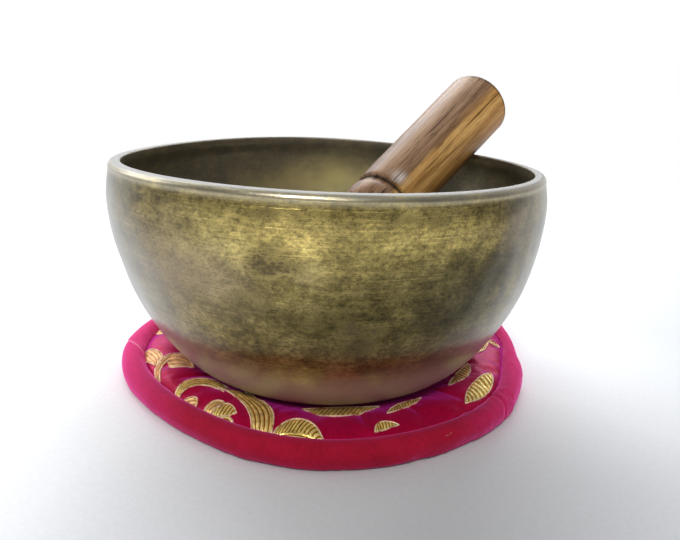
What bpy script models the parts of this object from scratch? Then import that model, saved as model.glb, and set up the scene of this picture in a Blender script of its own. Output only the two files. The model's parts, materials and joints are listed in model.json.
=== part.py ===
"""A hand-hammered bronze singing bowl on its brocade cushion, with its turned wooden mallet leaning inside.

Metres, +Z up. The origin is on the table, under the bowl's axis; the viewer stands on the -Y side.
The cushion lies on the table, the bowl presses it thin, and the mallet rests on the bowl's inner rim.
"""
import math

import bmesh
import bpy
from mathutils import Matrix, Vector
from mathutils.geometry import interpolate_bezier

# Fit between neighbours
GAP = 0.0003

# Shared by every mesh
MERGE_DISTANCE = 1e-6
SHARP_ANGLE = math.radians(40)

# Bowl: one piece of hammered bronze
RIM_RADIUS = 0.088
RIM_HEIGHT = 0.090            # lip above the table
BOWL_HEIGHT = 0.0867          # lip to underside
BELLY_RADIUS = 0.0895         # widest level, a little under the lip
BELLY_DROP = 0.0153
LIP_CURVE_OUT = 0.0009        # the wall leaves the lip outward and down by these
LIP_CURVE_DOWN = 0.0049
BELLY_CURVE_UP = 0.0053       # the belly's vertical run starts this far above it
BASE_RADIUS = 0.050           # flat underside
WALL_CURVE_DOWN = 0.0342      # how far the belly keeps its vertical run before it turns in
WALL_CURVE_IN = 0.0168        # how far the underside's curve starts outside the flat
WALL = 0.0028
LIP_WIDTH = 0.0046
LIP_ROUNDING = 0.0011
LIP_DEPTH = 0.009             # the lip thins to the wall over this depth
OUT_OF_ROUND = ((2, 0.0035, 0.0244), (3, 0.0066, 0.0050))   # share of the radius: order, cosine, sine
RIM_WAVE = ((2, -0.0008, 0.0), (3, 0.0002, -0.0003))        # lip height in metres: order, cosine, sine
OUT_OF_ROUND_FADE = 0.044     # below this depth the bowl is true again
ROUND_BASE = 0.030            # inside this radius the base is always true
BOWL_STEPS = 64

# Mallet: one piece of turned hardwood, thick end up
MALLET_AZIMUTH = math.radians(40.8)      # from +Y towards +X
MALLET_ELEVATION = math.radians(28.8)
MALLET_GROOVE = Vector((0.0231, 0.0032, 0.0714))   # centre of the groove
HEAD_LENGTH = 0.0878          # groove to thick end
HEAD_END_RADIUS = 0.0166
END_DOME = 0.0006             # crown of the thick end's face
EDGE_ROUNDING = 0.0020
GROOVE_RADIUS = 0.0148        # head beside the groove
GROOVE_WIDTH = 0.0026
GROOVE_DEPTH = 0.0018
GROOVE_CHAMFER = 0.0005
BEAD_LENGTH = 0.0115
BEAD_HEIGHT = 0.0016
BEAD_HALF_ARC = math.radians(65)
NECK_RADIUS = 0.0095
NECK_LENGTH = 0.004           # bead to the thinnest place
NECK_FLARE = 0.001
HANDLE_SWELL = 0.0029         # Bezier handles beyond the neck, near it and near the knob
HANDLE_SWELL_LOW = 0.0017
HANDLE_LENGTH = 0.0652
KNOB_FULLNESS = 0.01525       # Bezier handle radius of the knob
KNOB_LENGTH = 0.016
MALLET_STEPS = 32

# Cushion: two cloths round a thin filling, edged with a padded binding in two lengths
CUSHION_RADIUS = 0.0891
CUSHION_CENTRE = Vector((0.0035, 0.0, 0.0))
# the outline's share of its radius: order, cosine, sine
CUSHION_WOBBLE = ((2, 0.0006, 0.0284), (3, -0.0112, 0.0159), (4, -0.0129, 0.0139), (5, -0.0152, -0.0129))
CUSHION_REAR_CALM = 0.8                  # how much of that wobble is gone at the rear
REAR_STARTS, REAR_FULL = 0.25, 0.85      # sines of the angles where it begins to go, and where it is gone
BINDING_THICKNESS = 0.0095
BINDING_CLOTH = 0.0008
CORD_CLEARANCE = 0.0008                  # cord to binding cloth
BINDING_OPENING = math.radians(38)       # half the angle left open towards the cushion
SEAM_LEFT = math.radians(190)            # the two joins of the binding strips
SEAM_RIGHT = math.radians(320)
CLOTH = 0.0007
PRESSED_RADIUS = 0.056                   # cushion pressed flat by the bowl
CUSHION_RISE = 0.0066                    # brocade height near the binding
RISE_START = 0.006                       # the cloth lies flat this far past the pressed middle
RISE_END = 0.012                         # it levels out this far from the binding
RISE_CROWN = 0.0004
CUSHION_STEPS = 60
ROLL_STEPS, ROLL_INNER_STEPS, CORD_STEPS = 11, 9, 10

COLOURS = {
    "bronze": ((0.27, 0.22, 0.11), 0.38, 0.9),
    "walnut": ((0.30, 0.15, 0.07), 0.42, 0.0),
    "fuchsia_cotton": ((0.55, 0.02, 0.14), 0.85, 0.0),
    "brocade": ((0.50, 0.03, 0.28), 0.45, 0.0),
    "lining": ((0.40, 0.02, 0.12), 0.9, 0.0),
    "wadding": ((0.85, 0.83, 0.78), 1.0, 0.0),
}


def clear_scene():
    for obj in list(bpy.data.objects):
        bpy.data.objects.remove(obj)


def material(name):
    colour, roughness, metallic = COLOURS[name]
    mat = bpy.data.materials.new(name)
    mat.use_nodes = True
    shader = mat.node_tree.nodes["Principled BSDF"]
    shader.inputs["Base Color"].default_value = (*colour, 1.0)
    shader.inputs["Roughness"].default_value = roughness
    shader.inputs["Metallic"].default_value = metallic
    return mat


def add_part(name, bm, mat, parent=None):
    """Makes an object of a finished bmesh, with its faces pointing out and its round sides smooth."""
    bmesh.ops.remove_doubles(bm, verts=bm.verts, dist=MERGE_DISTANCE)
    bmesh.ops.dissolve_degenerate(bm, edges=bm.edges, dist=MERGE_DISTANCE / 10)
    bmesh.ops.recalc_face_normals(bm, faces=bm.faces)
    mesh = bpy.data.meshes.new(name)
    bm.to_mesh(mesh)
    bm.free()
    mesh.shade_smooth()
    mesh.set_sharp_from_angle(angle=SHARP_ANGLE)
    mesh.materials.append(material(mat))
    obj = bpy.data.objects.new(name, mesh)
    bpy.context.scene.collection.objects.link(obj)
    obj.parent = parent
    return obj


def add_empty(name, location, rotation=(0.0, 0.0, 0.0)):
    empty = bpy.data.objects.new(name, None)
    empty.location = location
    empty.rotation_euler = rotation
    bpy.context.scene.collection.objects.link(empty)
    return empty


def arc(centre, radius, start, end, steps):
    """Points of an arc in the radius-height plane, angles in degrees from the outward direction."""
    points = []
    for i in range(steps + 1):
        angle = math.radians(start + (end - start) * i / steps)
        points.append((centre[0] + radius * math.cos(angle), centre[1] + radius * math.sin(angle)))
    return points


def curve(start, start_handle, end_handle, end, steps):
    """Points of a Bezier segment in the radius-height plane, without its first point."""
    knots = [Vector((p[0], 0.0, p[1])) for p in (start, start_handle, end_handle, end)]
    return [(p.x, p.z) for p in interpolate_bezier(*knots, steps + 1)[1:]]


def spin_profile(points, steps):
    """Turns an outline of (radius, height) points that starts and ends on the Z axis into a closed solid."""
    bm = bmesh.new()
    verts = [bm.verts.new((radius, 0.0, height)) for radius, height in points]
    edges = [bm.edges.new(pair) for pair in zip(verts, verts[1:])]
    bmesh.ops.spin(bm, geom=verts + edges, axis=(0, 0, 1), cent=(0, 0, 0),
                   angle=math.tau, steps=steps, use_merge=True)
    bmesh.ops.remove_doubles(bm, verts=bm.verts, dist=MERGE_DISTANCE)
    return bm


def smoothstep(share):
    return share * share * (3 - 2 * share)


def wobble(angle, terms):
    return sum(cosine * math.cos(order * angle) + sine * math.sin(order * angle)
               for order, cosine, sine in terms)


# Bowl

def outer_wall():
    """The outside from just under the lip to the edge of the flat underside, heights below the rim."""
    belly = (BELLY_RADIUS, -BELLY_DROP)
    lip = (RIM_RADIUS, -LIP_ROUNDING)
    from_lip = (RIM_RADIUS + LIP_CURVE_OUT, -LIP_ROUNDING - LIP_CURVE_DOWN)
    into_belly = (BELLY_RADIUS, -BELLY_DROP + BELLY_CURVE_UP)
    upper = curve(lip, from_lip, into_belly, belly, 4)
    turn = (BELLY_RADIUS, -BELLY_DROP - WALL_CURVE_DOWN)
    into_base = (BASE_RADIUS + WALL_CURVE_IN, -BOWL_HEIGHT)
    lower = curve(belly, turn, into_base, (BASE_RADIUS, -BOWL_HEIGHT), 12)
    return [lip] + upper + lower


def wall_at(depth):
    """Wall thickness at a depth below the rim: thick at the lip, even below it."""
    return LIP_WIDTH + (WALL - LIP_WIDTH) * smoothstep(min(1.0, depth / LIP_DEPTH))


def inner_wall(outside):
    """The inside of the bowl, offset from the outside along its normal."""
    inside = []
    for i in range(1, len(outside)):
        before = Vector(outside[i - 1])
        after = Vector(outside[min(i + 1, len(outside) - 1)])
        along = (after - before).normalized()
        inward = Vector((along.y, -along.x))
        point = Vector(outside[i]) + inward * wall_at(-outside[i][1])
        inside.append((point.x, point.y))
    return inside


def bowl_mesh():
    outside = outer_wall()
    inside = inner_wall(outside)
    r = LIP_ROUNDING
    outer_round = arc((RIM_RADIUS - r, -r), r, 90, 0, 3)[:-1]
    inner_round = arc((RIM_RADIUS - LIP_WIDTH + r, -r), r, 180, 90, 3)
    inside = [p for p in inside if p[1] < -2 * LIP_ROUNDING]
    floor_z = -BOWL_HEIGHT + WALL
    outline = [(0.0, -BOWL_HEIGHT)] + outside[::-1] + outer_round[::-1]
    outline += inner_round[::-1] + inside + [(BASE_RADIUS * 0.5, floor_z), (0.0, floor_z)]
    bm = spin_profile(outline, BOWL_STEPS)
    for vert in bm.verts:
        angle = math.atan2(vert.co.y, vert.co.x)
        fade = max(0.0, 1.0 + vert.co.z / OUT_OF_ROUND_FADE)
        if math.hypot(vert.co.x, vert.co.y) > ROUND_BASE:
            scale = 1.0 + fade * wobble(angle, OUT_OF_ROUND)
            vert.co.x *= scale
            vert.co.y *= scale
            vert.co.z += fade * wobble(angle, RIM_WAVE)
    return bm


def make_bowl():
    rim = add_empty("bowl_axis", (0.0, 0.0, RIM_HEIGHT))
    return add_part("bowl", bowl_mesh(), "bronze", rim)


# Mallet

def mallet_profile():
    """The turned outline, thick end first. Heights run along the mallet's axis, up from the groove."""
    groove_edge = GROOVE_WIDTH / 2
    bead_end = -groove_edge - BEAD_LENGTH
    neck = bead_end - NECK_LENGTH
    handle_end = neck - HANDLE_LENGTH
    knob_end = handle_end - KNOB_LENGTH
    outline = head_profile(HEAD_LENGTH, groove_edge)
    outline += [(GROOVE_RADIUS - GROOVE_DEPTH, 0.0)] + bead_profile(-groove_edge)
    outline += curve(outline[-1], (NECK_RADIUS + NECK_FLARE, bead_end - NECK_FLARE),
                     (NECK_RADIUS, neck + NECK_LENGTH / 2), (NECK_RADIUS, neck), 3)
    reach = HANDLE_LENGTH * 0.3
    outline += curve((NECK_RADIUS, neck), (NECK_RADIUS + HANDLE_SWELL, neck - reach),
                     (NECK_RADIUS + HANDLE_SWELL_LOW, handle_end + reach), (NECK_RADIUS, handle_end), 6)
    outline += curve((NECK_RADIUS, handle_end), (KNOB_FULLNESS, handle_end - KNOB_LENGTH / 10),
                     (KNOB_FULLNESS, knob_end), (0.0, knob_end), 8)
    return outline


def head_profile(top, groove_edge):
    """The slightly domed face, its rounded edge and the tapered side down to the groove."""
    edge_centre = (HEAD_END_RADIUS - EDGE_ROUNDING, top - EDGE_ROUNDING - END_DOME)
    face = [(0.0, top), (HEAD_END_RADIUS / 2, top - END_DOME / 4)]
    taper = (HEAD_END_RADIUS - GROOVE_RADIUS) / HEAD_LENGTH
    heights = (top * 2 / 3, top / 3, groove_edge + GROOVE_CHAMFER)
    side = [(GROOVE_RADIUS + taper * height, height) for height in heights]
    chamfer = [(GROOVE_RADIUS - GROOVE_CHAMFER / 2, groove_edge)]
    return face + arc(edge_centre, EDGE_ROUNDING, 84, 4, 4) + side + chamfer


def bead_profile(top, steps=6):
    """A bead that stands out from its own foot by the height of an arc."""
    foot = math.cos(BEAD_HALF_ARC)
    points = []
    for i in range(steps + 1):
        turn = BEAD_HALF_ARC * (2 * i / steps - 1)
        out = (math.cos(turn) - foot) / (1 - foot)
        down = BEAD_LENGTH / 2 * (1 + math.sin(turn) / math.sin(BEAD_HALF_ARC))
        points.append((GROOVE_RADIUS - BEAD_HEIGHT * (1 - out), top - down))
    return points


def make_mallet():
    along = Vector((math.cos(MALLET_ELEVATION) * math.sin(MALLET_AZIMUTH),
                    math.cos(MALLET_ELEVATION) * math.cos(MALLET_AZIMUTH),
                    math.sin(MALLET_ELEVATION)))
    rotation = along.to_track_quat("Z", "Y").to_euler()
    axis = add_empty("mallet_axis", MALLET_GROOVE, rotation)
    return add_part("mallet", spin_profile(mallet_profile(), MALLET_STEPS), "walnut", axis)


# Cushion

def outline_scale(angle):
    rear = min(1.0, max(0.0, (math.sin(angle) - REAR_STARTS) / (REAR_FULL - REAR_STARTS)))
    calm = CUSHION_REAR_CALM * smoothstep(rear)
    return 1.0 + (1.0 - calm) * wobble(angle, CUSHION_WOBBLE)


def follow_outline(bm):
    """Gives a round piece the cushion's uneven outline. The pressed middle stays round."""
    for vert in bm.verts:
        radius = math.hypot(vert.co.x, vert.co.y)
        share = min(1.0, radius / PRESSED_RADIUS)
        scale = 1.0 + (outline_scale(math.atan2(vert.co.y, vert.co.x)) - 1.0) * share
        vert.co.x *= scale
        vert.co.y *= scale
    return bm


def cushion_edge():
    return CUSHION_RADIUS - BINDING_THICKNESS - GAP


def upper_outline(top_of_centre, top_of_edge, radius):
    """A cloth's upper side: flat where it is pressed, then a soft rise to the binding."""
    flat_end = (PRESSED_RADIUS, top_of_centre)
    leaves = (PRESSED_RADIUS + RISE_START, top_of_centre)
    arrives = (radius - RISE_END, top_of_edge + RISE_CROWN)
    return [flat_end] + curve(flat_end, leaves, arrives, (radius, top_of_edge), 5)


def sheet(lower, upper):
    """A closed round cloth between two outlines that run from the middle to the edge."""
    outline = [(0.0, lower[0][1])] + lower + upper[::-1] + [(0.0, upper[0][1])]
    return follow_outline(spin_profile(outline, CUSHION_STEPS))


def make_base_cloth(centre):
    rings = (PRESSED_RADIUS, cushion_edge())
    lower = [(radius, 0.0) for radius in rings]
    upper = [(radius, CLOTH) for radius in rings]
    return add_part("base_cloth", sheet(lower, upper), "lining", centre)


def make_filling(centre):
    edge = cushion_edge()
    low = CLOTH + GAP
    top_middle = RIM_HEIGHT - BOWL_HEIGHT - 2 * GAP - CLOTH
    lower = [(PRESSED_RADIUS, low), (edge, low)]
    upper = upper_outline(top_middle, CUSHION_RISE - CLOTH - GAP, edge)
    return add_part("filling_pad", sheet(lower, upper), "wadding", centre)


def make_brocade(centre):
    edge = cushion_edge()
    top_middle = RIM_HEIGHT - BOWL_HEIGHT - GAP
    upper = upper_outline(top_middle, CUSHION_RISE, edge)
    lower = upper_outline(top_middle - CLOTH, CUSHION_RISE - CLOTH, edge)
    return add_part("brocade_top", sheet(lower, upper), "brocade", centre)


def roll_section(shrink, start, end, steps):
    """Points on the binding's round section, shrunk inward, angles from the outward direction."""
    radius = BINDING_THICKNESS / 2 - shrink
    middle = (CUSHION_RADIUS - BINDING_THICKNESS / 2, BINDING_THICKNESS / 2)
    return arc(middle, radius, math.degrees(start), math.degrees(end), steps)


def swept_section(section, start, end, steps):
    """Sweeps a closed section in the XZ plane round Z. A full turn joins up, and an arc gets end caps."""
    bm = bmesh.new()
    full = math.isclose(end - start, math.tau)
    rings = []
    for i in range(steps if full else steps + 1):
        turn = Matrix.Rotation(start + (end - start) * i / steps, 3, "Z")
        rings.append([bm.verts.new(turn @ Vector((radius, 0.0, height))) for radius, height in section])
    pairs = list(zip(rings, rings[1:]))
    if full:
        pairs.append((rings[-1], rings[0]))
    else:
        bm.faces.new(rings[0])
        bm.faces.new(rings[-1])
    for ring, following in pairs:
        for i in range(len(section)):
            j = (i + 1) % len(section)
            bm.faces.new((ring[i], ring[j], following[j], following[i]))
    return follow_outline(bm)


def make_binding(name, start, end, centre):
    """One length of binding cloth, wrapped over the cord and open towards the cushion."""
    opening = math.pi - BINDING_OPENING
    section = roll_section(0.0, -opening, opening, ROLL_STEPS)
    section += roll_section(BINDING_CLOTH, opening, -opening, ROLL_INNER_STEPS)
    half_gap = GAP / 2 / CUSHION_RADIUS
    steps = round(CUSHION_STEPS * (end - start) / math.tau)
    bm = swept_section(section, start + half_gap, end - half_gap, steps)
    bmesh.ops.triangulate(bm, faces=[face for face in bm.faces if len(face.verts) > 4])
    return add_part(name, bm, "fuchsia_cotton", centre)


def make_cord(centre):
    section = roll_section(BINDING_CLOTH + CORD_CLEARANCE, 0.0, math.tau, CORD_STEPS)[:-1]
    ring = swept_section(section, 0.0, math.tau, CUSHION_STEPS)
    return add_part("binding_cord", ring, "wadding", centre)


def make_cushion():
    centre = add_empty("cushion_centre", CUSHION_CENTRE)
    make_base_cloth(centre)
    make_filling(centre)
    make_brocade(centre)
    make_cord(centre)
    make_binding("binding_front", SEAM_LEFT, SEAM_RIGHT, centre)
    make_binding("binding_rear", SEAM_RIGHT, SEAM_LEFT + math.tau, centre)


clear_scene()
make_cushion()
make_bowl()
make_mallet()
bpy.context.view_layer.update()
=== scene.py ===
import functools
import json
import math

import bpy
import numpy as np
from mathutils import Matrix, Vector
from mathutils.bvhtree import BVHTree


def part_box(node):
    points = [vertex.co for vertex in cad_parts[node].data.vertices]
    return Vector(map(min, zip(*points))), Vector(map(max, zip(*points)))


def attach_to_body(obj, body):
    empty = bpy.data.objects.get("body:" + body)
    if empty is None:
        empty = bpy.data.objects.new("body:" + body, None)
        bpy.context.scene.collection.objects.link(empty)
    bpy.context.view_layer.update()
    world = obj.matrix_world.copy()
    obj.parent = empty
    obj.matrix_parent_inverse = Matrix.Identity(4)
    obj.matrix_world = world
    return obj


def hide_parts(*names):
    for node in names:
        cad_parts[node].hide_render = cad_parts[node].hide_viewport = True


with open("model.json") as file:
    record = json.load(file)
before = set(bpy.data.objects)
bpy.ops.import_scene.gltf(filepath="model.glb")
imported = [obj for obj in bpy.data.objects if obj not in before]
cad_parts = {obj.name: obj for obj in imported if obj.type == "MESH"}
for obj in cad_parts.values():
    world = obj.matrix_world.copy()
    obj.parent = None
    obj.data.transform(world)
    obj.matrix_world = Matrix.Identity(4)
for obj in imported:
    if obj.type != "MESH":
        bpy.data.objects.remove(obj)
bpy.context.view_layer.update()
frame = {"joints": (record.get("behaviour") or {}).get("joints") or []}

MM = 0.001

# Places and sizes that several pieces share
RIM_HEIGHT = 0.090
RIM_RADIUS = 0.088
BASE_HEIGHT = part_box("bowl")[0].z
BOWL_HEIGHT = RIM_HEIGHT - BASE_HEIGHT
mallet_joint = next(j for j in frame["joints"] if j["name"] == "mallet_draw")
MALLET_AXIS = Vector(mallet_joint["axis"]).normalized()
CLEAR = 0.3 * MM                    # left between neighbours


# ---------------------------------------------------------------- mesh helpers

def turns(count):
    return np.linspace(0, math.tau, count, endpoint=False)


def grid_mesh(name, points, material, wrap_rows=False, cap=False):
    """Quads through a grid of points [row][column][xyz] whose rows are rings. Cap closes both ends."""
    rows, columns = points.shape[:2]
    index = np.arange(rows * columns).reshape(rows, columns)
    down = np.roll(index, -1, 0) if wrap_rows else index[1:]
    here = index if wrap_rows else index[:-1]
    right_here = np.roll(here, -1, 1)
    right_down = np.roll(down, -1, 1)
    quads = np.stack([here, right_here, right_down, down], -1)
    faces = quads.reshape(-1, 4).tolist()
    verts = points.reshape(-1, 3)
    if cap:
        first, last = len(verts), len(verts) + 1
        verts = np.vstack([verts, points[0].mean(0), points[-1].mean(0)])
        for i in range(columns):
            j = (i + 1) % columns
            faces.append((first, index[0][j], index[0][i]))
            faces.append((last, index[-1][i], index[-1][j]))
    mesh = bpy.data.meshes.new(name)
    mesh.from_pydata(verts.tolist(), [], faces)
    mesh.shade_smooth()
    mesh.materials.append(material)
    mesh.update()
    return mesh


def vertices(mesh):
    return np.array([v.co for v in mesh.vertices])


def attach(obj, body, stands_for):
    """Lets a piece ride on its body, in the place of the solids that it stands for."""
    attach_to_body(obj, body)
    if stands_for:
        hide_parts(*stands_for)
    return obj


def add_object(name, mesh, body=None, stands_for=(), location=None, rotation=None):
    obj = bpy.data.objects.new(name, mesh)
    bpy.context.scene.collection.objects.link(obj)
    if location is not None:
        obj.location = location
    if rotation is not None:
        obj.rotation_mode = "QUATERNION"
        obj.rotation_quaternion = rotation
    return attach(obj, body, stands_for) if body else obj


def bezier(p0, p1, p2, p3, steps, skip_first=True):
    t = np.linspace(0, 1, steps + 1)[1 if skip_first else 0:, None]
    p0, p1, p2, p3 = (np.array(p, float) for p in (p0, p1, p2, p3))
    return (1 - t) ** 3 * p0 + 3 * (1 - t) ** 2 * t * p1 + 3 * (1 - t) * t * t * p2 + t ** 3 * p3


def arc(centre, radius, start, end, steps):
    """Points of an arc in the radius-height plane, angles in degrees from the outward direction."""
    angles = np.radians(np.linspace(start, end, steps + 1))
    return np.stack([centre[0] + radius * np.cos(angles), centre[1] + radius * np.sin(angles)], -1)


def lathe(outline, steps):
    """Grid of points [outline][step][xyz] of an outline of (radius, height) turned round Z."""
    radius, height = outline[:, :1], outline[:, 1:]
    x, y = radius * np.cos(turns(steps)), radius * np.sin(turns(steps))
    return np.stack([x, y, height + 0 * x], -1)


def harmonics(angle, terms):
    return sum(c * np.cos(k * angle) + s * np.sin(k * angle) for k, c, s in terms)


def smoothstep(x, low, high):
    t = np.clip((x - low) / (high - low), 0, 1)
    return t * t * (3 - 2 * t)


def waves(points, length, seed, count=24):
    """Smooth seeded noise of about -1 to 1, as a sum of plane waves of roughly this wavelength in metres."""
    rng = np.random.default_rng(seed)
    flat = points.reshape(-1, 3)
    total = np.zeros(len(flat))
    for _ in range(count):
        direction = rng.normal(size=3)
        direction /= np.linalg.norm(direction)
        k = math.tau / (length * rng.uniform(0.7, 1.5))
        total += np.cos(flat @ direction * k + rng.uniform(0, math.tau))
    return (total * math.sqrt(2 / count) / 1.6).reshape(points.shape[:-1])


# ---------------------------------------------------------------- material helpers

def new_material(name):
    mat = bpy.data.materials.new(name)
    mat.use_nodes = True
    return mat, mat.node_tree, mat.node_tree.nodes["Principled BSDF"]


def node(tree, kind, inputs=None, **settings):
    """Adds a shader node with its inputs and settings."""
    made = tree.nodes.new(kind)
    for key, value in settings.items():
        setattr(made, key, value)
    return fill_in(tree, made, inputs or {})


def fill_in(tree, target, inputs):
    """Sets a node's inputs, by name or index: a socket is linked, anything else is its value."""
    for key, value in inputs.items():
        connect(tree, target.inputs[key], value)
    return target


def connect(tree, socket, value):
    if isinstance(value, bpy.types.NodeSocket):
        tree.links.new(value, socket)
    elif isinstance(value, (tuple, list)) and len(value) == 3 and socket.type == "RGBA":
        socket.default_value = (*value, 1.0)
    else:
        socket.default_value = value


def maths(tree, operation, a, b=0.0, clamp=False):
    return node(tree, "ShaderNodeMath", {0: a, 1: b}, operation=operation, use_clamp=clamp).outputs[0]


def times(tree, a, b, clamp=False):
    return maths(tree, "MULTIPLY", a, b, clamp)


def plus(tree, a, b, clamp=False):
    return maths(tree, "ADD", a, b, clamp)


def minus(tree, a, b, clamp=False):
    return maths(tree, "SUBTRACT", a, b, clamp)


def weighted(tree, *parts):
    """The sum of values, each times its weight."""
    total = times(tree, *parts[0])
    for value, weight in parts[1:]:
        total = plus(tree, total, times(tree, value, weight))
    return total


def rescale(tree, value, low, high, first=0.0, last=1.0):
    """Runs from first to last while the value runs from low to high."""
    return node(tree, "ShaderNodeMapRange", {0: value, 1: low, 2: high, 3: first, 4: last}).outputs[0]


def mix(tree, share, a, b, blend="MIX"):
    made = node(tree, "ShaderNodeMix", {0: share, 6: a, 7: b}, data_type="RGBA", blend_type=blend)
    return made.outputs[2]


def multiply(tree, share, colour, value, stops):
    """Multiplies a colour by a ramp of a value."""
    return mix(tree, share, colour, ramp(tree, value, stops), "MULTIPLY")


def paint(tree, colour, *coats):
    """Mixes colours over a colour in turn. Each coat is (where, how much of it, its colour)."""
    for where, most, over in coats:
        colour = mix(tree, times(tree, where, most, True), colour, over)
    return colour


def ramp(tree, value, stops):
    """A colour ramp. Stops are (position, grey or colour)."""
    made = node(tree, "ShaderNodeValToRGB", {0: value})
    elements = made.color_ramp.elements
    while len(elements) > 1:
        elements.remove(elements[-1])
    for i, (position, colour) in enumerate(stops):
        element = elements[0] if i == 0 else elements.new(position)
        element.position = position
        element.color = (*colour, 1.0) if isinstance(colour, (tuple, list)) else (colour, colour, colour, 1.0)
    return made.outputs[0]


def object_coords(tree, scale=(1, 1, 1), rotation=(0, 0, 0)):
    where = node(tree, "ShaderNodeTexCoord").outputs["Object"]
    return node(tree, "ShaderNodeMapping", {"Vector": where, "Scale": scale, "Rotation": rotation}).outputs[0]


def noise(tree, scale, detail, roughness, stretch=(1, 1, 1), rotation=(0, 0, 0), distortion=0.0):
    inputs = {"Vector": object_coords(tree, stretch, rotation), "Scale": scale, "Detail": detail}
    inputs.update({"Roughness": roughness, "Distortion": distortion})
    return node(tree, "ShaderNodeTexNoise", inputs).outputs["Fac"]


def attributes(tree, *names):
    return [node(tree, "ShaderNodeAttribute", attribute_name=name).outputs["Fac"] for name in names]


def facing(tree):
    """How slanted the surface is to the view: 0 is square to it."""
    return node(tree, "ShaderNodeLayerWeight", {"Blend": 0.5}).outputs["Facing"]


def bumps(tree, *layers):
    """A normal with several bumps, each (height, strength, distance)."""
    made = None
    for height, strength, distance in layers:
        inputs = {"Strength": strength, "Distance": distance, "Height": height}
        if made:
            inputs["Normal"] = made.outputs[0]
        made = node(tree, "ShaderNodeBump", inputs)
    return made.outputs[0]


def store(mesh, name, values):
    """Keeps one number per vertex, for the shader to read."""
    layer = mesh.attributes.new(name, "FLOAT", "POINT")
    layer.data.foreach_set("value", np.asarray(values, np.float32).ravel())


# ---------------------------------------------------------------- bowl

BELLY_RADIUS, BELLY_DROP = 89.5 * MM, 15.3 * MM
BASE_RADIUS = 50 * MM
WALL_CURVE_DOWN, WALL_CURVE_IN = 34.2 * MM, 16.8 * MM      # Bezier handles from the belly and to the base
WALL, LIP_WIDTH, LIP_DEPTH = 2.8 * MM, 4.6 * MM, 9 * MM
LIP_ROUNDING_OUT, LIP_ROUNDING_IN = 2.4 * MM, 0.7 * MM
LIP_SLOPE = math.radians(11)        # the wall's lean just below the lip
INSIDE_FROM = 2.6 * MM              # the lip's inner rounding covers the wall above this depth
LAND_HOLLOW = 0.05 * MM
LIP_FADE = 10 * MM                  # the hammer marks fade out over this depth below the lip
OUT_OF_ROUND = ((2, 0.0035, 0.0244), (3, 0.0066, 0.0050))
RIM_WAVE = ((2, -0.8 * MM, 0.0), (3, 0.2 * MM, -0.3 * MM))
OUT_OF_ROUND_FADE = 44 * MM
BOWL_STEPS = 420
HAMMERED = ((0.07 * MM, 15 * MM, 3), (0.13 * MM, 42 * MM, 4))      # dents: depth, length, seed


def lip_rounding():
    """The lip's outer rounding, from the wall, which leans out below it, up to the flat land."""
    centre = (RIM_RADIUS - LIP_ROUNDING_OUT, -LIP_ROUNDING_OUT)
    return arc(centre, LIP_ROUNDING_OUT, -math.degrees(LIP_SLOPE), 90, 10)


def outer_wall():
    """Outside of the bowl from the lip to the flat underside, (radius, height below the rim)."""
    belly = (BELLY_RADIUS, -BELLY_DROP)
    lip = lip_rounding()[0]
    onward = lip + 3 * MM * np.array([math.sin(LIP_SLOPE), -math.cos(LIP_SLOPE)])
    upper = bezier(lip, onward, (BELLY_RADIUS, -10 * MM), belly, 14)
    lower = bezier(belly, (BELLY_RADIUS, -BELLY_DROP - WALL_CURVE_DOWN),
                   (BASE_RADIUS + WALL_CURVE_IN, -BOWL_HEIGHT), (BASE_RADIUS, -BOWL_HEIGHT), 72)
    return np.vstack([[lip], upper, lower])


def inner_wall(outside):
    along = np.gradient(outside, axis=0)
    along /= np.linalg.norm(along, axis=1)[:, None]
    inward = np.stack([along[:, 1], -along[:, 0]], -1)
    inward[inward[:, 0] > 0] *= -1
    share = smoothstep(-outside[:, 1], 0, LIP_DEPTH)[:, None]
    inside = outside + inward * (LIP_WIDTH + (WALL - LIP_WIDTH) * share)
    return inside[inside[:, 1] < -INSIDE_FROM]


def bowl_outline():
    outside = outer_wall()
    inside = inner_wall(outside)
    land_out = RIM_RADIUS - LIP_ROUNDING_OUT
    land_in = RIM_RADIUS - LIP_WIDTH + LIP_ROUNDING_IN
    outer_round = lip_rounding()[1:]
    shares = np.linspace(0, 1, 8)[1:-1]
    hollow = -LAND_HOLLOW * np.sin(np.pi * shares)
    land = np.stack([land_out + (land_in - land_out) * shares, hollow], -1)
    inner_round = arc((land_in, -LIP_ROUNDING_IN), LIP_ROUNDING_IN, 90, 180, 6)
    floor = -BOWL_HEIGHT + WALL
    flat = np.array([0.86, 0.7, 0.5, 0.25, 0.02]) * BASE_RADIUS
    under = np.stack([flat[::-1], np.full(5, -BOWL_HEIGHT)], -1)
    top_of_floor = np.stack([flat, np.full(5, floor)], -1)
    return np.vstack([under, outside[::-1], outer_round, land, inner_round, inside, top_of_floor])


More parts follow.
